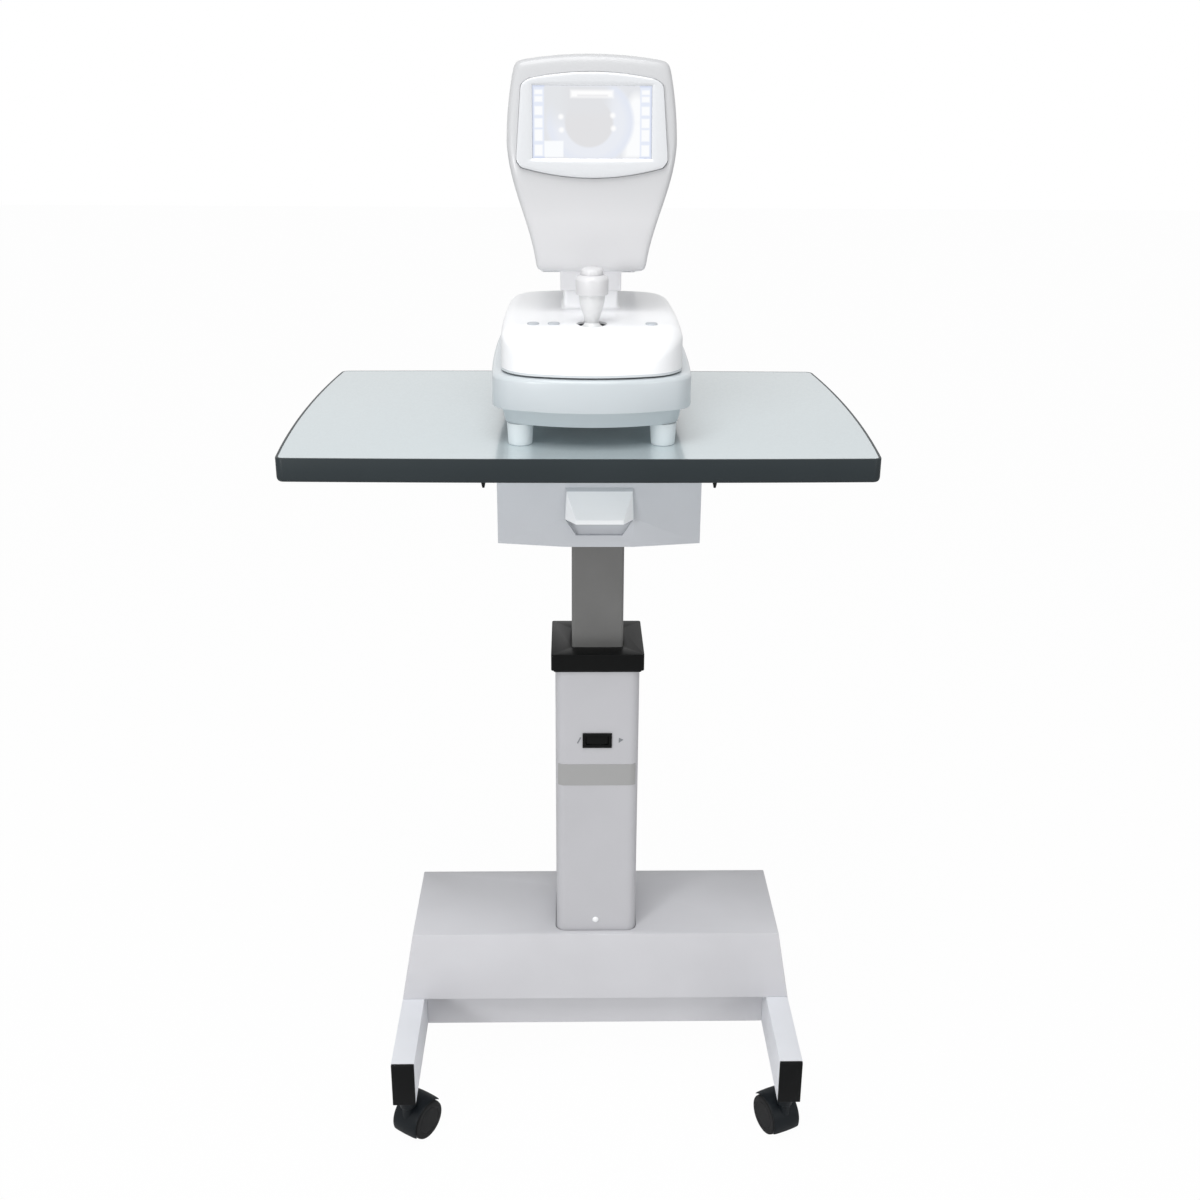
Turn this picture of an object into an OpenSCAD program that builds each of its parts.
// Autorefractor on its motorised instrument table, millimetres, +Z up.
// Origin on the floor under the middle of the work top. The operator sits at -Y, the patient at +Y.

/* [Work top] */
// Width of the work top at its corners
top_w = 640; // [560:5:700]
// Depth of the work top at its corners
top_d = 466; // [420:2:520]
// Thickness of the work top
top_t = 26; // [18:1:34]
// Height of the work surface, with the lift at its stored height
top_h = 934; // [900:1:960]
// How far each side bows out past the corners
side_bow = 9.5; // [4:0.5:16]
// How far the front and back edges bow out
front_bow = 4; // [2:0.5:10]
// Corner radius of the work top
top_corner_r = 9; // [4:1:20]
// Thickness of the edge band
band_t = 3; // [2:0.5:5]
// Height of the lead hooks under the front edge
hook_h = 13; // [8:1:16]

/* [Column and lift] */
// Column centre, across, from the middle of the work top
col_x = 23.5; // [0:0.5:40]
// Column centre, fore and aft
col_y = -24; // [-40:1:0]
// Outer column width
outer_w = 105; // [95:1:110]
// Outer column edge radius
outer_r = 12; // [5:1:20]
// Outer column wall
outer_wall = 2.5; // [2:0.5:4]
// Height of the top of the collar
collar_top = 646; // [600:1:660]
// Collar width
collar_w = 115; // [112:1:130]
// Collar height
collar_h = 24.5; // [16:0.5:32]
// Inner column width
inner_w = 64; // [54:1:70]
// Inner column edge radius
inner_r = 4; // [2:1:10]
// Inner column wall
inner_wall = 2; // [1.5:0.5:4]
// Foot of the inner column above the floor, at the stored height
inner_foot = 330; // [320:1:360]
// Running gap between the collar and the inner column, each side
glide_gap = 0.3; // [0.2:0.1:1]
// Lead screw diameter
screw_d = 16; // [12:1:20]
// Top of the lead screw
screw_top = 500; // [480:1:520]

/* [Base frame] */
// Width over the two legs
legs_w = 521; // [480:1:540]
// Length of a leg tube without its end caps
leg_l = 386; // [360:2:400]
// Leg tube width
leg_w = 29; // [25:1:40]
// Leg tube height
leg_h = 62; // [50:1:70]
// Leg tube wall
leg_wall = 2; // [1.5:0.5:3]
// Underside of the legs above the floor
leg_z = 82; // [80:1:90]
// Thickness of an end cap's face
cap_t = 4; // [3:0.5:8]
// Depth of the cross beam
beam_d = 66; // [50:1:80]
// Width of the base cover at its top
cover_top_w = 486; // [460:1:500]
// Height of the top of the base cover
cover_top = 246; // [240:1:260]
// Front face of the base cover, ahead of the column centre
cover_front = 63; // [58:1:80]
// Back face of the base cover, behind the column centre
cover_back = 94; // [80:1:100]
// Sheet thickness of the base cover
cover_t = 2; // [1.5:0.5:3]

/* [Lift drive] */
// Lift motor centre, beside the column centre
motor_x = 96; // [90:1:110]
// Lift motor diameter
motor_d = 52; // [40:1:56]
// Lift motor length
motor_l = 58; // [40:1:64]
// Control box centre, beside the column centre
box_x = -160; // [-170:1:-140]
// Control box width
box_w = 130; // [100:5:140]
// Middle of the table's mains inlet above the cross beam
inlet_up = 40; // [30:1:60]
// Lift switch bezel width
switch_w = 37; // [30:1:44]
// Lift switch bezel height
switch_h = 20; // [16:1:26]
// Middle of the lift switch below the collar
switch_drop = 94.5; // [90:0.5:140]
// Diameter of a rocker's pivot pin
pin_d = 2.4; // [2:0.2:3]

/* [Castors] */
// Castor wheel diameter
wheel_d = 52; // [46:1:58]
// Width of one castor wheel
wheel_w = 11; // [9:0.5:15]
// Width of the web between the two wheels
web_w = 15; // [14:1:20]
// Distance from the stem to the axle
trail = 20; // [16:1:24]
// Castor stem diameter
stem_d = 10; // [8:1:11]
// Castor axle diameter
axle_d = 8; // [6:1:10]
// Distance from a leg's end to the castor stem
stem_in = 31; // [28:1:60]
// Way each castor trails at rest, degrees from +X: front left, front right, rear left, rear right
castor_turn = [55, 115, 60, 120]; // [0:1:180]

/* [Drawer] */
// Drawer front width
drawer_w = 236; // [220:1:250]
// Underside of the drawer front, below the work top's underside
drawer_drop = 108; // [100:1:120]
// Face of the drawer front at its ends, ahead of the column centre
drawer_front_y = 86; // [80:1:95]
// How far the middle panel stands ahead of the ends
drawer_bow = 14; // [8:1:20]
// Width of the middle panel and its pull
pull_w = 80; // [60:1:100]
// Width of the pull at its lip
pull_lip_w = 54; // [44:1:60]
// How far the pull's lip stands out
pull_out = 25; // [18:1:32]
// Depth of the drawer case, front to back
case_d = 190; // [160:1:210]
// Sheet thickness of the drawer case
case_t = 2; // [1:0.5:3]
// Height of the drawer tray's sides
tray_h = 74; // [50:1:76]
// Sheet thickness of the drawer tray
tray_t = 1.5; // [1:0.5:2]

/* [Instrument base] */
// Instrument centre, across, from the middle of the work top
inst_x = 13.5; // [0:0.5:30]
// Middle of the instrument base, fore and aft
inst_y = -4; // [-10:1:0]
// Instrument base width
base_w = 224; // [214:1:240]
// Instrument base length
base_l = 412; // [400:1:430]
// Height of the rubber feet
foot_h = 24; // [16:1:30]
// Height of the bottom pan
pan_h = 18; // [14:1:24]
// Height of the base shell
shell_h = 36; // [34:1:44]
// Wall of the moulded shells
wall = 2.5; // [2:0.25:3]
// Slide rod diameter
rod_d = 8; // [6:1:10]
// Radial running clearance of a rod or shaft in its bore
run_gap = 0.05; // [0.02:0.01:0.1]
// Stage travel to each side
stage_x_travel = 30; // [20:1:32]
// Stage travel fore and aft, each way
stage_y_travel = 18; // [10:1:20]

/* [Deck] */
// Deck width
deck_w = 200; // [190:1:206]
// Deck length
deck_l = 322; // [310:1:330]
// Gap between the base shell and the deck
deck_gap = 2; // [1.5:0.5:4]
// Height of the deck
deck_h = 48; // [44:1:56]
// Joystick ahead of the middle of the instrument base
joy_ahead = 146; // [140:1:150]
// Joystick barrel diameter
barrel_d = 35; // [30:1:38]
// Joystick ball diameter
ball_d = 30; // [26:1:32]
// Height of the joystick's barrel over its pivot
grip_up = 50; // [44:1:56]
// Deck button diameter
button_d = 13; // [10:0.5:16]
// Deck button places, across, from the instrument's middle
button_x = [-63, -41, 64]; // [-70:1:70]

/* [Head] */
// Head width at its widest
head_w = 182; // [170:1:190]
// Head width at its underside
head_low_w = 121; // [110:1:130]
// Underside of the head above the work surface
head_z = 174; // [172:1:180]
// Head height at the middle
head_h = 225; // [215:1:235]
// Height of the widest place over the head's underside
head_wide_z = 135; // [120:1:145]
// Front of the head ahead of the middle of the instrument base
head_front = 108; // [100:1:110]
// Head depth
head_d = 207; // [190:1:215]
// Lean of the display face, degrees
face_lean = 9; // [5:1:14]
// Display width
screen_w = 126; // [110:1:130]
// Display height
screen_h = 73; // [60:1:76]
// Neck sleeve width
neck_w = 69; // [62:1:76]
// Lift post diameter
post_d = 30; // [24:1:34]
// Head travel up and down, each way
head_travel = 15; // [10:1:18]
// Height of the optical axis over the head's underside
axis_z = 127; // [115:1:135]
// Objective barrel diameter
barrel_lens_d = 46; // [40:1:52]

/* [Face rest] */
// Face rest behind the middle of the instrument base
rest_back = 172; // [168:1:176]
// Distance between the face rest's posts, at eye height
posts_w = 176; // [160:1:190]
// Width of the face rest's foot block
block_w = 44; // [40:1:60]
// Face rest tube diameter
tube_d = 12; // [10:1:14]
// Chin cup travel, each way
chin_travel = 20; // [12:1:24]
// Chin spindle diameter
spindle_d = 12; // [8:1:14]
// Diameter of the chin knob's shaft
knob_shaft_d = 6; // [4:1:8]

/* [Hidden] */
$fn = 64;
eps = 0.01;
seat = 0.3;                        // gap between a piece and what it rests on, across a joint
face_gap = 1;                      // gap round a panel in its opening
moulding_gap = 0.2;                // gap between a piece and the moulding it drops into

// Colours
paint_c = [0.80, 0.80, 0.83];
leg_c = [0.86, 0.87, 0.89];
black_c = [0.09, 0.10, 0.10];
steel_c = [0.60, 0.61, 0.62];
white_c = [0.95, 0.95, 0.95];
shell_c = [0.86, 0.86, 0.87];

// Heights
beam_top = leg_z + leg_h;
plate_t = 6;
gearbox_h = 26;
collar_z = collar_top - collar_h;
switch_z = collar_z - switch_drop;
column_z = beam_top + plate_t;
nut_h = 22;
board_z = top_h - top_t;
front_z = board_z - drawer_drop;
flange_t = 6;
case_z = front_z + flange_t;
pan_z = top_h + foot_h;
shell_z = pan_z + pan_h;
shell_top = shell_z + shell_h;
deck_z = shell_top + deck_gap;
deck_top = deck_z + deck_h;
head_low = top_h + head_z;
eye_z = head_low + axis_z;

// Places
leg_mid = legs_w/2 - leg_w/2;
axle_z = wheel_d/2;
hood_in_r = wheel_d/2 + 1.5;
hood_t = 3;
hood_from = 48;                    // the shell's ends, degrees from the trailing side
hood_to = 200;
hood_top = leg_z - 2 - seat;
wheel_gap = 0.6;
stem_at = [for (sy = [-1, 1], sx = [-1, 1]) [col_x + sx*leg_mid, col_y + sy*(leg_l/2 + cap_t - stem_in)]];
base_r = base_l/2;
side_r = 3000;                     // bow of the long sides of the instrument base and the deck
base_corner = 34;
deck_corner = 50;
pan_inset = 9;
deck_y = inst_y - base_l/2 + 3 + deck_l/2;
joy_y = inst_y - joy_ahead;
button_y = joy_y - 3;
pivot_z = deck_top - 19;
head_y = inst_y - head_front;
rest_y = inst_y + rest_back;

// Points along an arc
function arc(c, r, a0, a1, n) = [for (i = [0:n]) c + r*[cos(a0 + (a1 - a0)*i/n), sin(a0 + (a1 - a0)*i/n)]];

// Centre of the corner circle that touches the side arc (centre [sc, 0]) and the end arc (centre [0, ec])
function corner_centre(sc, rs, ec, re) =
    let(d = sqrt(sc*sc + ec*ec), a = (rs*rs - re*re + d*d)/(2*d), h = sqrt(rs*rs - a*a))
    [sc + (-sc*a - ec*h)/d, (ec*a - sc*h)/d];

// First quarter of a plan whose half width hw and half depth hd are reached by arcs of radius rs and re
function quarter(hw, hd, rs, re, r) =
    let(sc = hw - rs, ec = hd - re, c = corner_centre(sc, rs - r, ec, re - r),
        a_side = atan2(c[1], c[0] - sc), a_end = atan2(c[1] - ec, c[0]))
    concat(arc([sc, 0], rs, 0, a_side, 7), arc(c, r, a_side + 4, a_end - 4, 6),
        arc([0, ec], re, a_end, 90, 9));

// Whole outline from its first quarter
function four_ways(q) = let(n = len(q)) concat(q,
    [for (k = [n - 2:-1:0]) [-q[k][0], q[k][1]]],
    [for (k = [1:n - 1]) [-q[k][0], -q[k][1]]],
    [for (k = [n - 2:-1:1]) [q[k][0], -q[k][1]]]);

// A plan with bowed sides and ends, drawn inset by i
module bowed(hw, hd, rs, re, r, i = 0) {
    polygon(four_ways(quarter(hw - i, hd - i, rs - i, re - i, r - i)));
}

// A rectangle with round corners, about its middle
module rrect(w, d, r) {
    square([w - 2*r, d], center = true);
    square([w, d - 2*r], center = true);
    for (sx = [-1, 1], sy = [-1, 1]) translate([sx*(w/2 - r), sy*(d/2 - r)]) circle(r);
}

// A box given by its middle in plan and its lowest height
module slab(size, at) {
    translate([at[0] - size[0]/2, at[1] - size[1]/2, at[2]]) cube(size);
}

// A straight round bar between two points
module bar(a, b, d) {
    v = b - a;
    l = norm(v);
    translate(a) rotate([0, acos(v[2]/l), atan2(v[1], v[0])]) cylinder(h = l, d = d);
}

// ---- Table base ----

module leg(side) {
    color(leg_c) difference() {
        slab([leg_w, leg_l, leg_h], [col_x + side*leg_mid, col_y, leg_z]);
        slab([leg_w - 2*leg_wall, leg_l + 2, leg_h - 2*leg_wall],
            [col_x + side*leg_mid, col_y, leg_z + leg_wall]);
        for (p = stem_at) translate([p[0], p[1], leg_z - 1]) cylinder(h = leg_wall + 2, d = stem_d + 0.2);
    }
}
module left_leg() leg(-1);
module right_leg() leg(1);

module cross_beam() {
    color(paint_c) difference() {
        slab([legs_w - 2*leg_w, beam_d, leg_h], [col_x, col_y, leg_z]);
        slab([legs_w, beam_d - 2*leg_wall, leg_h - 2*leg_wall], [col_x, col_y, leg_z + leg_wall]);
    }
}

module leg_caps() {
    plug = 14;
    color(black_c) for (sx = [-1, 1], sy = [-1, 1]) {
        x = col_x + sx*leg_mid;
        slab([leg_w, cap_t, leg_h], [x, col_y + sy*(leg_l + cap_t)/2, leg_z]);
        slab([leg_w - 2*leg_wall - 0.2, plug, leg_h - 2*leg_wall - 0.2],
            [x, col_y + sy*(leg_l - plug)/2, leg_z + leg_wall + 0.1]);
    }
}

module castor_stems() {
    nut_t = 8;
    color(steel_c) for (p = stem_at) translate([p[0], p[1], 0]) {
        translate([0, 0, axle_z + 14]) cylinder(h = leg_z + leg_wall + nut_t + 2 - axle_z - 14, d = stem_d);
        translate([0, 0, leg_z - 2]) cylinder(h = 2, d = stem_d + 9);
        translate([0, 0, leg_z + leg_wall]) cylinder(h = nut_t, d = stem_d + 7, $fn = 6);
    }
}

module foot_plate() {
    color(steel_c) difference() {
        slab([outer_w + 60, beam_d, plate_t], [col_x, col_y, beam_top]);
        for (sx = [-1, 1], sy = [-1, 1])
            translate([col_x + sx*(outer_w/2 + 16), col_y + sy*(beam_d/2 - 15), beam_top - 1])
                cylinder(h = plate_t + 2, d = 9);
    }
}

// Base cover, drawn in by t on every side but its open underside
module cover_form(t) {
    top_half = cover_top_w/2 - t;
    low_half = legs_w/2 - t;
    translate([col_x, col_y + cover_back - t, 0]) rotate([90, 0, 0])
        linear_extrude(cover_front + cover_back - 2*t)
            polygon([[-low_half, beam_top], [low_half, beam_top],
                [top_half, cover_top - t], [-top_half, cover_top - t]]);
}

module base_cover() {
    color(paint_c) difference() {
        cover_form(0);
        translate([0, 0, -eps]) cover_form(cover_t);
        translate([col_x, col_y, beam_top]) linear_extrude(cover_top)
            rrect(outer_w + 2*face_gap, outer_w + 2*face_gap, outer_r + face_gap);
        slab([31, 10, 21], [col_x + box_x, col_y + cover_back, inlet_z - 0.5]);
    }
}

module outer_column() {
    z1 = collar_z;
    color(paint_c) difference() {
        translate([col_x, col_y, column_z]) linear_extrude(z1 - column_z) rrect(outer_w, outer_w, outer_r);
        translate([col_x, col_y, column_z - 1]) linear_extrude(z1 - column_z + 2)
            rrect(outer_w - 2*outer_wall, outer_w - 2*outer_wall, outer_r - outer_wall);
        slab([outer_w, motor_d + 10, gearbox_h + 4], [col_x + outer_w/2, col_y, column_z - 1]);
        slab([switch_w - 3, 20, switch_h - 3], [col_x, col_y - outer_w/2, switch_z - switch_h/2 + 1.5]);
    }
}

// Collar with the guide bush that reaches down between the two columns
module top_collar() {
    bush_l = 60;
    hole = inner_w + 2*glide_gap;
    chamfer = 3;
    color(black_c) difference() {
        union() {
            translate([col_x, col_y, collar_z + chamfer]) linear_extrude(collar_h - chamfer)
                rrect(collar_w, collar_w, 3);
            translate([col_x, col_y, collar_z]) linear_extrude(chamfer + eps)
                rrect(collar_w - 2*chamfer, collar_w - 2*chamfer, 3);
            translate([col_x, col_y, collar_z - bush_l]) linear_extrude(bush_l + eps)
                rrect(outer_w - 2*outer_wall - 0.4, outer_w - 2*outer_wall - 0.4, outer_r - outer_wall);
        }
        translate([col_x, col_y, collar_z - bush_l - 1]) linear_extrude(collar_h + bush_l + 2)
            rrect(hole, hole, inner_r + glide_gap);
    }
}

module lift_gearbox() {
    color([0.45, 0.46, 0.48]) difference() {
        slab([motor_x + 70, motor_d + 6, gearbox_h - 2], [col_x + motor_x/2, col_y, column_z]);
        translate([col_x, col_y, column_z + 6]) cylinder(h = gearbox_h, d = screw_d + 2*run_gap);
    }
}

module lift_motor() {
    color([0.25, 0.26, 0.28]) translate([col_x + motor_x, col_y, column_z + gearbox_h - 2]) {
        cylinder(h = motor_l, d = motor_d);
        translate([0, 0, motor_l]) cylinder(h = 6, d = 20);
    }
}

// Control box with its mains inlet, which shows in the back of the cover
inlet_z = beam_top + inlet_up;
module control_box() {
    box_d = cover_back - 13;
    box_y = col_y + 4 + box_d/2;
    foot_d = beam_d/2 - 4;
    color([0.30, 0.31, 0.33]) {
        slab([box_w, box_d, 70], [col_x + box_x, box_y, beam_top + 8]);
        slab([30, 9.5, 20], [col_x + box_x, col_y + cover_back - 4.5, inlet_z]);
        for (sx = [-1, 1])
            slab([10, foot_d, 8 + eps], [col_x + box_x + sx*(box_w/2 - 15), col_y + 4 + foot_d/2, beam_top]);
    }
}

switch_y = col_y - outer_w/2 + 3;
module switch_bezel() {
    color(black_c) difference() {
        union() {
            slab([switch_w, 2, switch_h], [col_x, col_y - outer_w/2 - 1, switch_z - switch_h/2]);
            slab([switch_w - 4, 14, switch_h - 4],
                [col_x, col_y - outer_w/2 + 7, switch_z - switch_h/2 + 2]);
        }
        slab([switch_w - 8, 30, switch_h - 8], [col_x, col_y - outer_w/2, switch_z - switch_h/2 + 4]);
        translate([col_x, switch_y, switch_z - switch_h]) cylinder(h = 2*switch_h, d = pin_d + 2*run_gap);
    }
}

module lift_rocker() {
    w = switch_w - 9;
    h = switch_h - 9;
    sag = 1.2;
    r = (w*w/4 + sag*sag)/(2*sag);
    pin_l = switch_h - 5;
    color([0.13, 0.14, 0.15]) {
        intersection() {
            slab([w, 10, h], [col_x, switch_y, switch_z - h/2]);
            translate([col_x, col_y - outer_w/2 - 1.6 + r, switch_z - h]) cylinder(h = 2*h, r = r, $fn = 360);
        }
        translate([col_x, switch_y, switch_z - pin_l/2]) cylinder(h = pin_l, d = pin_d);
    }
}

module lead_screw() {
    z0 = column_z + 6 + seat;
    color(steel_c) translate([col_x, col_y, z0]) cylinder(h = screw_top - z0, d = screw_d);
}

// ---- Lifted part ----

module inner_column() {
    color([0.42, 0.42, 0.42]) {
        difference() {
            translate([col_x, col_y, inner_foot]) linear_extrude(case_z - flange_t - inner_foot + eps)
                rrect(inner_w, inner_w, inner_r);
            translate([col_x, col_y, inner_foot - 1]) linear_extrude(case_z - inner_foot - flange_t + 1)
                rrect(inner_w - 2*inner_wall, inner_w - 2*inner_wall, inner_r - inner_wall/2);
        }
        slab([inner_w + 56, inner_w + 56, flange_t], [col_x, col_y, case_z - flange_t]);
    }
}

module lead_nut() {
    foot_w = outer_w - 2*outer_wall - 2*glide_gap;
    color([0.85, 0.84, 0.78]) difference() {
        union() {
            translate([col_x, col_y, inner_foot]) linear_extrude(nut_h)
                rrect(inner_w - 2*inner_wall, inner_w - 2*inner_wall, inner_r - inner_wall/2);
            translate([col_x, col_y, inner_foot - 8]) linear_extrude(8)
                rrect(foot_w, foot_w, outer_r - outer_wall);
        }
        translate([col_x, col_y, inner_foot - 9]) cylinder(h = nut_h + 10, d = screw_d + 2*run_gap);
    }
}

case_w = drawer_w - 4;
case_y0 = col_y - drawer_front_y + 12;
case_h = board_z - case_z;
module drawer_case() {
    color(paint_c) difference() {
        translate([col_x - case_w/2, case_y0, case_z]) cube([case_w, case_d, case_h]);
        translate([col_x - case_w/2 + case_t, case_y0 - 1, case_z + case_t])
            cube([case_w - 2*case_t, case_d - case_t + 1, case_h - 2*case_t]);
    }
    // runner rails inside the case
    color(steel_c) for (sx = [-1, 1])
        translate([col_x + sx*(case_w/2 - case_t - 4) - 4, case_y0 + 4, case_z + 40])
            cube([8, case_d - 12, 12]);
}

module top_plan(i) {
    hw = top_w/2 + side_bow;
    hd = top_d/2 + front_bow;
    rs = (pow(top_d/2, 2) + pow(side_bow, 2))/(2*side_bow);
    re = (pow(top_w/2, 2) + pow(front_bow, 2))/(2*front_bow);
    bowed(hw, hd, rs, re, top_corner_r, i);
}

module table_board() {
    color([0.85, 0.88, 0.89]) translate([0, 0, board_z]) linear_extrude(top_t) top_plan(band_t);
}

module edge_band() {
    color([0.21, 0.24, 0.25]) translate([0, 0, board_z]) linear_extrude(top_t) difference() {
        top_plan(0);
        top_plan(band_t);
    }
}

// Two moulded hooks under the front edge, for the instrument's leads, clear of the drawer on both sides
hook_y = -top_d/2 - front_bow + 37;
hook_at = [[col_x - drawer_w/2 - 9.5, hook_y], [col_x + drawer_w/2 + 5.5, hook_y]];
module cord_hooks() {
    color(black_c) for (p = hook_at) translate([p[0], p[1], board_z - hook_h - 2]) {
        cylinder(h = hook_h, d1 = 2.5, d2 = 8);
        translate([0, 0, hook_h - eps]) cylinder(h = 2 + eps, d = 13);
    }
}

// ---- Drawer ----

tray_w = case_w - 2*case_t - 17;
tray_z = case_z + case_t + 8;
module drawer_tray() {
    tray_d = case_d - 18;
    y0 = case_y0 - 2;
    color([0.75, 0.76, 0.78]) {
        difference() {
            translate([col_x - tray_w/2, y0, tray_z]) cube([tray_w, tray_d, tray_h]);
            translate([col_x - tray_w/2 + tray_t, y0 + tray_t, tray_z + tray_t])
                cube([tray_w - 2*tray_t, tray_d - 2*tray_t, tray_h]);
        }
        // flanges that ride on the runner rails
        for (sx = [-1, 1]) translate([col_x + sx*(tray_w/2 + 3.5) - 4, y0, case_z + 52 + seat])
            cube([8, tray_d, 2]);
    }
}

// Plan of the drawer front: two receding end panels and a middle panel
function front_plan(t) = [[-drawer_w/2, 0], [-pull_w/2, -drawer_bow], [pull_w/2, -drawer_bow],
    [drawer_w/2, 0], [drawer_w/2, t], [-drawer_w/2, t]];

module drawer_front() {
    top_gap = 4;
    lip_z = front_z + 40;
    pull_top = front_z + 71;
    well_z = front_z + 14;
    face_y = -drawer_bow;
    translate([col_x, col_y - drawer_front_y, 0]) color(paint_c) difference() {
        union() {
            translate([0, 0, front_z]) linear_extrude(drawer_drop - top_gap) polygon(front_plan(10));
            // hooded pull, wide at the panel and narrow at its lip
            hull() {
                translate([-pull_w/2 + 1, face_y - 1, pull_top - 4]) cube([pull_w - 2, 1, 4]);
                translate([-pull_w/2 - 1, face_y, lip_z - 6]) cube([pull_w + 2, 1, 6]);
                translate([-pull_lip_w/2, face_y - pull_out, lip_z - 5]) cube([pull_lip_w, 2, 5]);
            }
        }
        // finger well, open below the lip
        hull() {
            translate([-pull_w/2 + 6, face_y + 1, lip_z - 9]) cube([pull_w - 12, 8, 3]);
            translate([-pull_w/2 + 10, face_y + 1, pull_top - 12]) cube([pull_w - 20, 8, 3]);
            translate([-pull_lip_w/2 + 3, face_y - pull_out + 4, lip_z - 9]) cube([pull_lip_w - 6, 8, 2]);
        }
        hull() {
            translate([-pull_w/2 + 1, face_y - 2, lip_z - 7]) cube([pull_w - 2, 12, 2]);
            translate([-pull_lip_w/2, face_y - 2, well_z]) cube([pull_lip_w, 8, 2]);
        }
    }
}

// ---- Castors: hood and wheels, drawn with the stem on the Z axis and the axle at +X ----

module castor_hood() {
    r_out = hood_in_r + hood_t;
    over_w = web_w + 2*wheel_w + 2*wheel_gap;
    color(black_c) difference() {
        union() {
            // web between the wheels
            translate([trail, web_w/2, axle_z]) rotate([90, 0, 0]) cylinder(h = web_w, r = 17);
            translate([-stem_d/2 - 4, -web_w/2, axle_z - 6]) cube([trail + stem_d/2 + 4, web_w, 23]);
            // stem boss
            translate([0, 0, axle_z + 12]) cylinder(h = hood_top - axle_z - 12, d = web_w);
            translate([0, 0, wheel_d + 3]) cylinder(h = hood_top - wheel_d - 3, d = stem_d + 11);
            // shell over the top and the leading side of the wheels
            translate([trail, over_w/2, axle_z]) rotate([90, 0, 0]) difference() {
                cylinder(h = over_w, r = r_out);
                translate([0, 0, -1]) cylinder(h = over_w + 2, r = hood_in_r);
                translate([0, 0, -1]) linear_extrude(over_w + 2)
                    polygon([[0, 0], 90*[cos(hood_from), sin(hood_from)], [90, 0], [0, -90],
                        90*[cos(hood_to), sin(hood_to)]]);
            }
        }
        translate([0, 0, axle_z + 13]) cylinder(h = 80, d = stem_d + 2*run_gap);
        translate([trail, 50, axle_z]) rotate([90, 0, 0]) cylinder(h = 100, d = axle_d + 2*run_gap);
    }
}

module castor_wheels() {
    color([0.07, 0.07, 0.08]) translate([trail, 0, axle_z]) rotate([90, 0, 0]) {
        cylinder(h = web_w + 2*wheel_w - 4, d = axle_d, center = true);
        for (s = [-1, 1]) translate([0, 0, s*(web_w/2 + wheel_gap + wheel_w/2 - 0.3)]) difference() {
            cylinder(h = wheel_w - 0.6, d = wheel_d, center = true, $fn = 96);
            translate([0, 0, s*(wheel_w/2 - 2)]) cylinder(h = 4, d = wheel_d - 16, center = true);
        }
    }
}

module at_castor(i) {
    translate([stem_at[i][0], stem_at[i][1], 0]) rotate([0, 0, castor_turn[i]]) children();
}

// ---- Instrument base ----

module base_plan(i) bowed(base_w/2, base_r, side_r, base_r, base_corner, i);

module rubber_feet() {
    inset = 43;
    color([0.35, 0.37, 0.38]) for (sx = [-1, 1], sy = [-1, 1])
        translate([inst_x + sx*(base_w/2 - 34), inst_y + sy*(base_l/2 - inset), top_h])
            cylinder(h = foot_h, d1 = 26, d2 = 29);
}

rail_x = base_w/2 - 28;
rail_z = pan_z + 18;
rail_l = 300;
module base_pan() {
    color([0.62, 0.64, 0.66]) translate([inst_x, inst_y, pan_z]) {
        difference() {
            linear_extrude(pan_h) base_plan(pan_inset);
            translate([0, 0, 3]) linear_extrude(pan_h) base_plan(pan_inset + wall);
        }
        // rod supports
        for (sx = [-1, 1], sy = [-1, 1]) difference() {
            slab([18, 12, rail_z - pan_z + 8 - 3], [sx*rail_x, sy*(rail_l/2 - 6), 3]);
            translate([sx*rail_x, 0, rail_z - pan_z]) rotate([90, 0, 0])
                cylinder(h = rail_l + 20, d = rod_d + 2*run_gap, center = true);
        }
    }
}

opening_x = stage_x_travel + 24;
opening_y = stage_y_travel + 60;
inlet_at = [inst_x + base_w/2, inst_y + 96, shell_z + shell_h/2 - 1];
rocker_at = [inst_x + base_w/2, inst_y + 62, shell_z + shell_h/2 - 1];
module base_shell() {
    lip_w = 3;
    color(white_c) difference() {
        translate([inst_x, inst_y, shell_z]) linear_extrude(shell_h) base_plan(0);
        translate([inst_x, inst_y, shell_z + 2]) linear_extrude(shell_h - wall - 2) base_plan(wall);
        // open underside: the lip around it rests on the pan's rim
        translate([inst_x, inst_y, shell_z - 1]) linear_extrude(4) base_plan(pan_inset + lip_w);
        slab([2*opening_x, 2*opening_y, 20], [inst_x, inst_y, shell_top - 10]);
        slab([20, 28, 20], [inlet_at[0], inlet_at[1], inlet_at[2] - 10]);
        slab([20, 14, 20], [rocker_at[0], rocker_at[1], rocker_at[2] - 10]);
    }
}

module base_rails() {
    color(steel_c) for (sx = [-1, 1]) translate([inst_x + sx*rail_x, inst_y, rail_z])
        rotate([90, 0, 0]) cylinder(h = rail_l, d = rod_d, center = true);
}

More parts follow.
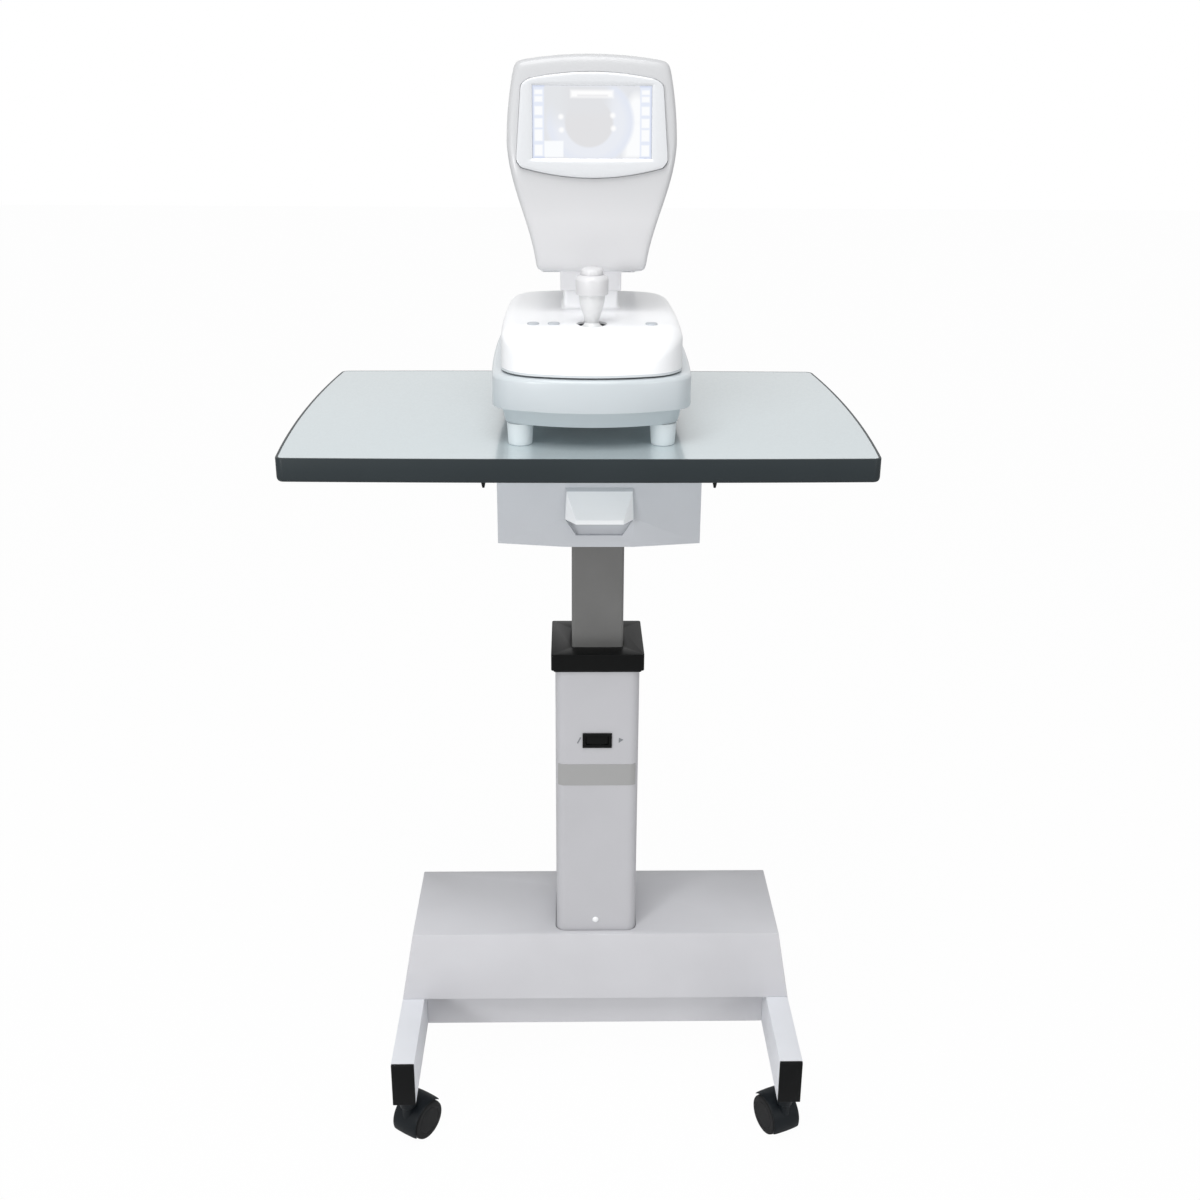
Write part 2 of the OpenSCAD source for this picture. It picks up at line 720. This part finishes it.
// Mains inlet, and beside it the housing that snaps into the shell round the power rocker
housing_w = 13.8;
housing_h = 19.8;
rocker_w = 11;
rocker_h = 16.4;
module power_inlet() {
    flange = 1.6;
    color(black_c) {
        difference() {
            slab([40, 27.6, 19.6], [inlet_at[0] - 19.5, inlet_at[1], inlet_at[2] - 9.8]);
            slab([16, 22, 14], [inlet_at[0] - 4, inlet_at[1], inlet_at[2] - 7]);
        }
        translate(rocker_at) difference() {
            union() {
                slab([16, housing_w, housing_h], [-7.4, 0, -housing_h/2]);
                slab([1.2, housing_w + 2*flange, housing_h + 2*flange], [0.4, 0, -housing_h/2 - flange]);
            }
            slab([14, rocker_w + 0.6, rocker_h + 1.6], [-6, 0, -rocker_h/2 - 0.8]);
            translate([rocker_pin, 0, 0]) rotate([90, 0, 0])
                cylinder(h = 2*housing_w, d = pin_d + 2*run_gap, center = true);
        }
    }
    color(steel_c) for (dy = [-6, 0, 6])
        translate([inlet_at[0] - 13, inlet_at[1] + dy - 1, inlet_at[2] - 2 + (dy == 0 ? 3 : 0)])
            cube([9, 2, 4]);
}

rocker_pin = -5.5;
module power_rocker() {
    color([0.12, 0.12, 0.13]) translate(rocker_at) {
        intersection() {
            slab([10, rocker_w, rocker_h], [rocker_pin + 2, 0, -rocker_h/2]);
            translate([-28, 0, 0]) rotate([90, 0, 0]) cylinder(h = 40, r = 30, center = true, $fn = 180);
        }
        translate([rocker_pin, 0, 0]) rotate([90, 0, 0])
            cylinder(h = housing_w - 0.6, d = pin_d, center = true);
    }
}

// ---- Face rest ----

cup_z = eye_z - 118;
cup_t = 10;
bar_half = 8;
rest_z = cup_z - cup_t - chin_travel - 1 - bar_half;
knuckle = 1;                       // how much thicker each bend's knuckle is than the tube
post_low = 55;
post_bend = [rest_z + 42, rest_z + 112];
bar_z = eye_z + 50;
knob_z = rest_z - 22;
spindle_z = shell_top + 6 + chin_travel;
module face_frame() {
    color(white_c) difference() {
        union() {
            slab([block_w, 26, rest_z - shell_top + bar_half], [inst_x, rest_y, shell_top]);
            slab([2*post_low + tube_d, 18, 2*bar_half], [inst_x, rest_y, rest_z - bar_half]);
            for (s = [-1, 1]) {
                low = [inst_x + s*post_low, rest_y, rest_z];
                bend = [inst_x + s*post_low, rest_y, post_bend[0]];
                wide = [inst_x + s*posts_w/2, rest_y, post_bend[1]];
                top = [inst_x + s*posts_w/2, rest_y, bar_z];
                bar(low, bend, tube_d);
                bar(bend, wide, tube_d);
                bar(wide, top, tube_d);
                for (p = [bend, wide, top]) translate(p) sphere(d = tube_d + knuckle);
            }
            bar([inst_x - posts_w/2, rest_y, bar_z], [inst_x + posts_w/2, rest_y, bar_z], tube_d);
        }
        translate([inst_x, rest_y, shell_top + 4]) cylinder(h = 200, d = spindle_d + 2*run_gap);
        translate([inst_x, rest_y, knob_z]) rotate([0, 90, 0])
            cylinder(h = 60, d = knob_shaft_d + 2*run_gap);
    }
}

module forehead_pad() {
    r = 110;
    pad_t = 7;
    back = tube_d/2;
    color([0.75, 0.78, 0.80]) intersection() {
        translate([inst_x, rest_y + back + r + 0.3, bar_z - 13]) difference() {
            cylinder(h = 26, r = r, $fn = 180);
            translate([0, 0, -1]) cylinder(h = 28, r = r - pad_t, $fn = 180);
        }
        slab([112, 50, 40], [inst_x, rest_y + back + 20, bar_z - 20]);
    }
}

module chin_cup() {
    color([0.93, 0.94, 0.94]) {
        translate([inst_x, rest_y, spindle_z]) cylinder(h = cup_z - cup_t + 2 - spindle_z, d = spindle_d);
        difference() {
            translate([inst_x, rest_y + 10, cup_z - cup_t]) linear_extrude(cup_t + 4) rrect(84, 44, 16);
            translate([inst_x, rest_y + 10, cup_z + 26]) rotate([90, 0, 0])
                cylinder(h = 60, r = 34, center = true, $fn = 96);
        }
    }
}

module chin_knob() {
    color([0.20, 0.21, 0.22]) translate([inst_x, rest_y, knob_z]) rotate([0, 90, 0]) {
        translate([0, 0, spindle_d/2 + 1]) cylinder(h = block_w/2 + seat + 3 - spindle_d/2, d = knob_shaft_d);
        translate([0, 0, block_w/2 + seat]) difference() {
            cylinder(h = 14, d = 26);
            for (a = [0:30:330]) rotate([0, 0, a]) translate([14, 0, -1]) cylinder(h = 16, d = 4);
        }
    }
}

// ---- Slides and deck ----

slide_z = rail_z - 6;
rods_z = rail_z + 17;
rods_y = 40;
module cross_slide() {
    plate_w = 2*rail_x + 18;
    color([0.70, 0.71, 0.73]) translate([inst_x, inst_y, 0]) difference() {
        union() {
            slab([plate_w, 2*rods_y + 24, 12], [0, 0, slide_z]);
            for (sx = [-1, 1], sy = [-1, 1])
                slab([10, 16, rods_z - slide_z - 12 + 8], [sx*(plate_w/2 - 5), sy*rods_y, slide_z + 12]);
        }
        slab([2*rail_x - 40, 2*rods_y - 10, 20], [0, 0, slide_z - 4]);
        for (sx = [-1, 1]) translate([sx*rail_x, 0, rail_z]) rotate([90, 0, 0])
            cylinder(h = 200, d = rod_d + 2*run_gap, center = true);
        for (sy = [-1, 1]) translate([0, sy*rods_y, rods_z]) rotate([0, 90, 0])
            cylinder(h = 300, d = rod_d + 0.1, center = true);
    }
}

module cross_rods() {
    color(steel_c) for (sy = [-1, 1]) translate([inst_x, inst_y + sy*rods_y, rods_z])
        rotate([0, 90, 0]) cylinder(h = 2*rail_x + 16, d = rod_d, center = true);
}

plate_z = deck_z + 1;
tower_top = head_low + 12;
post_y = inst_y - 10;
tower_w = neck_w - 9;
tower_d = 62;
module deck_plate() {
    color([0.72, 0.73, 0.74]) difference() {
        union() {
            translate([inst_x, deck_y, plate_z]) linear_extrude(4)
                bowed(deck_w/2, deck_l/2, side_r, base_r, deck_corner, wall + moulding_gap);
            // runner blocks on the cross rods
            for (sy = [-1, 1]) slab([40, 16, plate_z - rods_z + 8], [inst_x, inst_y + sy*rods_y, rods_z - 8]);
            // lift tower
            slab([tower_w, tower_d, tower_top - plate_z], [inst_x, post_y, plate_z]);
            // yoke of the joystick
            for (sx = [-1, 1]) slab([6, 14, pivot_z - plate_z + 5], [inst_x + sx*27, joy_y, plate_z]);
        }
        translate([inst_x, post_y, rods_z]) cylinder(h = 200, d = post_d + 2*run_gap);
        for (sy = [-1, 1]) translate([inst_x, inst_y + sy*rods_y, rods_z]) rotate([0, 90, 0])
            cylinder(h = 60, d = rod_d + 2*run_gap, center = true);
        translate([inst_x, joy_y, pivot_z]) rotate([0, 90, 0])
            cylinder(h = 80, d = 4 + 2*run_gap, center = true);
    }
}

// Side profile of the deck: a rounded nose, a palm slope and a flat top, drawn in by i
function deck_side(i) = let(y0 = -deck_l/2 + i, y1 = deck_l/2 - i, h = deck_h - i, nose = 8, slope_l = 56)
    concat([[y0, 0]], [for (k = [0:12]) [y0 + slope_l*pow(k/12, 1.6), nose + (h - nose)*sin(90*k/12)]],
        arc([y1 - 18, h - 18], 18, 90, 0, 6), [[y1, 0]]);

module deck_form(i) {
    edge = 16;
    intersection() {
        linear_extrude(deck_h) bowed(deck_w/2, deck_l/2, side_r, base_r, deck_corner, i);
        translate([-deck_w/2, 0, 0]) rotate([90, 0, 90]) linear_extrude(deck_w) polygon(deck_side(i));
        translate([0, deck_l/2, 0]) rotate([90, 0, 0]) linear_extrude(deck_l) intersection() {
            translate([0, (deck_h - i - 40)/2]) rrect(deck_w - 2*i, deck_h - i + 40, edge);
            translate([-deck_w/2, 0]) square([deck_w, deck_h]);
        }
    }
}

turret_gap = 0.3;
module deck_shell() {
    color(white_c) difference() {
        union() {
            translate([inst_x, deck_y, deck_z]) deck_form(0);
            // turret round the lift tower
            slab([tower_w + 2*turret_gap + 2, tower_d + 2*turret_gap + 2, tower_top - deck_top + wall],
                [inst_x, post_y, deck_top - wall]);
        }
        translate([inst_x, deck_y, deck_z - eps]) deck_form(wall);
        slab([tower_w + 2*turret_gap, tower_d + 2*turret_gap, 120], [inst_x, post_y, deck_z + 4]);
        translate([inst_x, joy_y, deck_z]) cylinder(h = 80, d = ball_d + 3);
        for (x = button_x) translate([inst_x + x, button_y, deck_z + 10])
            cylinder(h = 80, d = button_d + 2*seat);
    }
}

module deck_button(x) {
    color([0.55, 0.58, 0.62]) translate([inst_x + x, button_y, deck_top - 11])
        rotate_extrude()
            polygon([[0, 0], [button_d/2, 0], [button_d/2, 11.4], [button_d/2 - 0.8, 12.2], [0, 12.6]]);
}

// ---- Joystick ----

module joystick_gimbal() {
    color(steel_c) translate([inst_x, joy_y, pivot_z]) difference() {
        union() {
            translate([0, 0, -5]) cylinder(h = 10, d = ball_d + 14);
            rotate([0, 90, 0]) cylinder(h = 60, d = 4, center = true);
        }
        translate([0, 0, -10]) cylinder(h = 20, d = ball_d + 1);
        rotate([90, 0, 0]) cylinder(h = 80, d = 4 + 2*run_gap, center = true);
    }
}

grip_z = pivot_z + grip_up;
ring_h = 21;
button_t = 10;
shaft_d = 10;
module joystick_stick() {
    color([0.80, 0.81, 0.82]) translate([inst_x, joy_y, pivot_z]) {
        intersection() {
            sphere(d = ball_d, $fn = 64);
            translate([0, 0, -8]) cylinder(h = 40, d = ball_d + 2);
        }
        rotate([90, 0, 0]) cylinder(h = ball_d + 12, d = 4, center = true);
        rotate_extrude() polygon([[0, 0], [6.5, 0], [6.5, 19], [13, grip_up - 10], [14, grip_up - seat],
            [0, grip_up - seat]]);
        cylinder(h = grip_up + ring_h - 4, d = shaft_d);
    }
}

module height_ring() {
    color(shell_c) translate([inst_x, joy_y, grip_z]) difference() {
        cylinder(h = ring_h, d = barrel_d);
        translate([0, 0, -1]) cylinder(h = ring_h + 2, d = shaft_d + 2*run_gap);
        translate([0, 0, ring_h - 6]) cylinder(h = 10, d = 24.6);
    }
}

module measure_button() {
    dome_r = 20;
    color([0.90, 0.91, 0.92]) translate([inst_x, joy_y, grip_z + ring_h - 2]) intersection() {
        cylinder(h = button_t, d = 24);
        translate([0, 0, button_t - dome_r]) sphere(r = dome_r, $fn = 96);
    }
}

// ---- Head: coordinates from the middle of its underside, front at -Y ----

// Half width of the head at height z over its underside
function half_w(z) = z < head_wide_z
    ? let(t = z/head_wide_z) head_low_w/2 + (head_w - head_low_w)/2*(0.3*t + 0.7*(1 - cos(180*t))/2)
    : head_w/2 - 8*pow((z - head_wide_z)/(head_h - 13 - head_wide_z), 2);

function head_front_profile(i) =
    let(n = 18, z1 = head_h - 9)
    let(right = [for (k = [0:n]) let(z = i + (z1 - 2*i)*k/n) [half_w(z) - i, z]],
        crown = [for (k = [1:11]) let(x = (half_w(z1) - i)*(1 - k/6))
            [x, head_h - i - 9*pow(x/(half_w(z1) - i), 2)]],
        left = [for (k = [n:-1:0]) [-right[k][0], right[k][1]]])
    concat([[0, i - 2]], right, crown, left);

brow_z = 98;
brow_y = -head_d/2;
function head_side_profile(i) =
    let(top_y = brow_y + (head_h - brow_z)*tan(face_lean))
    [[brow_y + 22 + i, i - 4], [brow_y + 8 + i, 50], [brow_y + 2 + i, brow_z - 14], [brow_y + i, brow_z],
     [top_y + i, head_h + 1 - i], [head_d/2 - 60, head_h - 4 - i], [head_d/2 - 24, head_h - 18 - i],
     [head_d/2 - i, head_h - 50], [head_d/2 - i, 70], [head_d/2 - 22 - i, i + 6], [head_d/2 - 60, i - 4]];

// Plan of the head: bowed front, sides that draw in towards the patient
function head_plan(i) =
    let(w = head_w/2 - i, f = -head_d/2 + i, b = head_d/2 - i)
    concat([for (k = [0:12]) let(x = w*(2*k/12 - 1)) [x, f + 3*pow(x/w, 2)]],
        [[w, -head_d/2 + 70], [w - 10, 10], [w - 22, 66]], arc([w - 42, b - 16], 16, 20, 90, 5),
        arc([-w + 42, b - 16], 16, 90, 160, 5), [[-w + 22, 66], [-w + 10, 10], [-w, -head_d/2 + 70]]);

module head_form(i) {
    intersection() {
        translate([0, head_d, 0]) rotate([90, 0, 0]) linear_extrude(2*head_d) polygon(head_front_profile(i));
        translate([-head_w, 0, 0]) rotate([90, 0, 90]) linear_extrude(2*head_w) polygon(head_side_profile(i));
        translate([0, 0, -10]) linear_extrude(head_h + 30) polygon(head_plan(i));
    }
}

module at_head() translate([inst_x, head_y + head_d/2, head_low]) children();

// Frame of the display face: X across, Y up the face, Z out of it, origin at the brow
module on_face() translate([0, brow_y, brow_z]) rotate([90 - face_lean, 0, 0]) children();

screen_mid = 60;
// Outline of the bezel on the display face: bowed top, bottom and sides
function bezel_points(i) =
    let(low = 15 + i, high = 102 - i, wl = 81 - i, wh = 76 - i)
    concat([for (k = [0:12]) let(x = wl*(2*k/12 - 1)*0.94) [x, low - 12*(1 - pow(x/wl, 2))]],
        arc([wl - 9, low + 8], 9, -50, 0, 4), arc([wh - 8, high - 8], 8, 0, 62, 4),
        [for (k = [12:-1:0]) let(x = wh*(2*k/12 - 1)*0.88) [x, high + 9*(1 - pow(x/wh, 2))]],
        arc([-wh + 8, high - 8], 8, 118, 180, 4), arc([-wl + 9, low + 8], 9, 180, 230, 4));

bezel_t = 7;
module screen_bezel() {
    color([0.96, 0.96, 0.96]) at_head() on_face() difference() {
        translate([0, 0, -bezel_t + 1.5]) linear_extrude(bezel_t) polygon(bezel_points(0.4));
        translate([-screen_w/2 - seat, screen_mid - screen_h/2 - seat, -20])
            cube([screen_w + 2*seat, screen_h + 2*seat, 40]);
    }
}

module display() {
    color([0.55, 0.62, 0.72]) at_head() on_face()
        translate([-screen_w/2, screen_mid - screen_h/2, -4.5]) cube([screen_w, screen_h, 4.5]);
}

split_y = -38;
module head_shell_solid() {
    difference() {
        head_form(0);
        head_form(wall);
        // bezel opening
        on_face() translate([0, 0, -bezel_t + 1.2]) linear_extrude(40) polygon(bezel_points(0));
        on_face() translate([0, 0, -30]) linear_extrude(60) polygon(bezel_points(8));
        // neck opening
        slab([neck_w + 2*seat, neck_d + 2*seat, 30], [0, post_y - head_y - head_d/2, -10]);
        // objective
        translate([0, 0, axis_z]) rotate([-90, 0, 0]) cylinder(h = 300, d = barrel_lens_d + 0.4);
    }
}

module head_front_shell() {
    color(shell_c) at_head() intersection() {
        head_shell_solid();
        translate([-200, -300, -20]) cube([400, 300 + split_y - 0.3, 400]);
    }
}

module head_rear_shell() {
    color(shell_c) at_head() intersection() {
        head_shell_solid();
        translate([-200, split_y + 0.3, -20]) cube([400, 400, 400]);
    }
}

neck_d = 78;
sleeve_drop = 25;                  // how far the sleeve reaches below the head
module neck_sleeve() {
    color([0.91, 0.91, 0.92]) difference() {
        slab([neck_w, neck_d, bench_z + sleeve_drop], [inst_x, post_y, head_low - sleeve_drop]);
        slab([tower_w + 4.5, tower_d + 6, 90], [inst_x, post_y, head_low - sleeve_drop - 15]);
    }
}

bench_z = 34;
bench_t = 6;
module optics_bench() {
    camera_w = head_w - 112;
    color([0.30, 0.31, 0.33]) at_head() {
        slab([head_w - 92, head_d - 57, bench_t], [0, 0, bench_z]);
        slab([camera_w, 60, 52], [0, 10, bench_z + bench_t]);
        difference() {
            slab([camera_w, 16, axis_z - bench_z + 30], [0, head_d/2 - 34, bench_z]);
            translate([0, 0, axis_z]) rotate([-90, 0, 0]) cylinder(h = 200, d = barrel_lens_d - 8 + 0.2);
        }
    }
    reach = head_travel + 47;      // the post keeps 47 mm in the tower at the top of its travel
    color(steel_c) translate([inst_x, post_y, head_low - reach])
        cylinder(h = reach + bench_z + eps, d = post_d);
}

module lens_barrel() {
    color([0.12, 0.12, 0.13]) at_head() translate([0, 0, axis_z]) rotate([-90, 0, 0]) difference() {
        union() {
            translate([0, 0, head_d/2 - 26]) cylinder(h = 40, d = barrel_lens_d);
            translate([0, 0, head_d/2 - 46]) cylinder(h = 21, d = barrel_lens_d - 8);
        }
        translate([0, 0, head_d/2 - 60]) cylinder(h = 100, d = barrel_lens_d - 16);
        translate([0, 0, head_d/2 + 6]) cylinder(h = 20, d1 = barrel_lens_d - 16, d2 = barrel_lens_d);
    }
}

module objective_lens() {
    color([0.35, 0.45, 0.55]) at_head() translate([0, head_d/2 + 2, axis_z]) rotate([-90, 0, 0])
        intersection() {
            cylinder(h = 8, d = barrel_lens_d - 16 - 0.2, center = true);
            translate([0, 0, -40]) sphere(r = 43, $fn = 128);
        }
}

left_leg();
right_leg();
cross_beam();
leg_caps();
castor_stems();
foot_plate();
base_cover();
outer_column();
top_collar();
lift_gearbox();
lift_motor();
control_box();
switch_bezel();
lead_screw();
lift_rocker();
inner_column();
lead_nut();
drawer_case();
table_board();
edge_band();
cord_hooks();
drawer_tray();
drawer_front();
at_castor(0) castor_hood();  // front_left_hood
at_castor(1) castor_hood();  // front_right_hood
at_castor(2) castor_hood();  // rear_left_hood
at_castor(3) castor_hood();  // rear_right_hood
at_castor(0) castor_wheels();  // front_left_wheels
at_castor(1) castor_wheels();  // front_right_wheels
at_castor(2) castor_wheels();  // rear_left_wheels
at_castor(3) castor_wheels();  // rear_right_wheels
rubber_feet();
base_pan();
base_shell();
base_rails();
power_inlet();
power_rocker();
face_frame();
forehead_pad();
chin_cup();
chin_knob();
cross_slide();
cross_rods();
deck_plate();
deck_shell();
joystick_gimbal();
joystick_stick();
height_ring();
measure_button();
deck_button(button_x[0]);  // deck_button_left
deck_button(button_x[1]);  // deck_button_middle
deck_button(button_x[2]);  // deck_button_right
neck_sleeve();
optics_bench();
head_front_shell();
head_rear_shell();
screen_bezel();
display();
lens_barrel();
objective_lens();
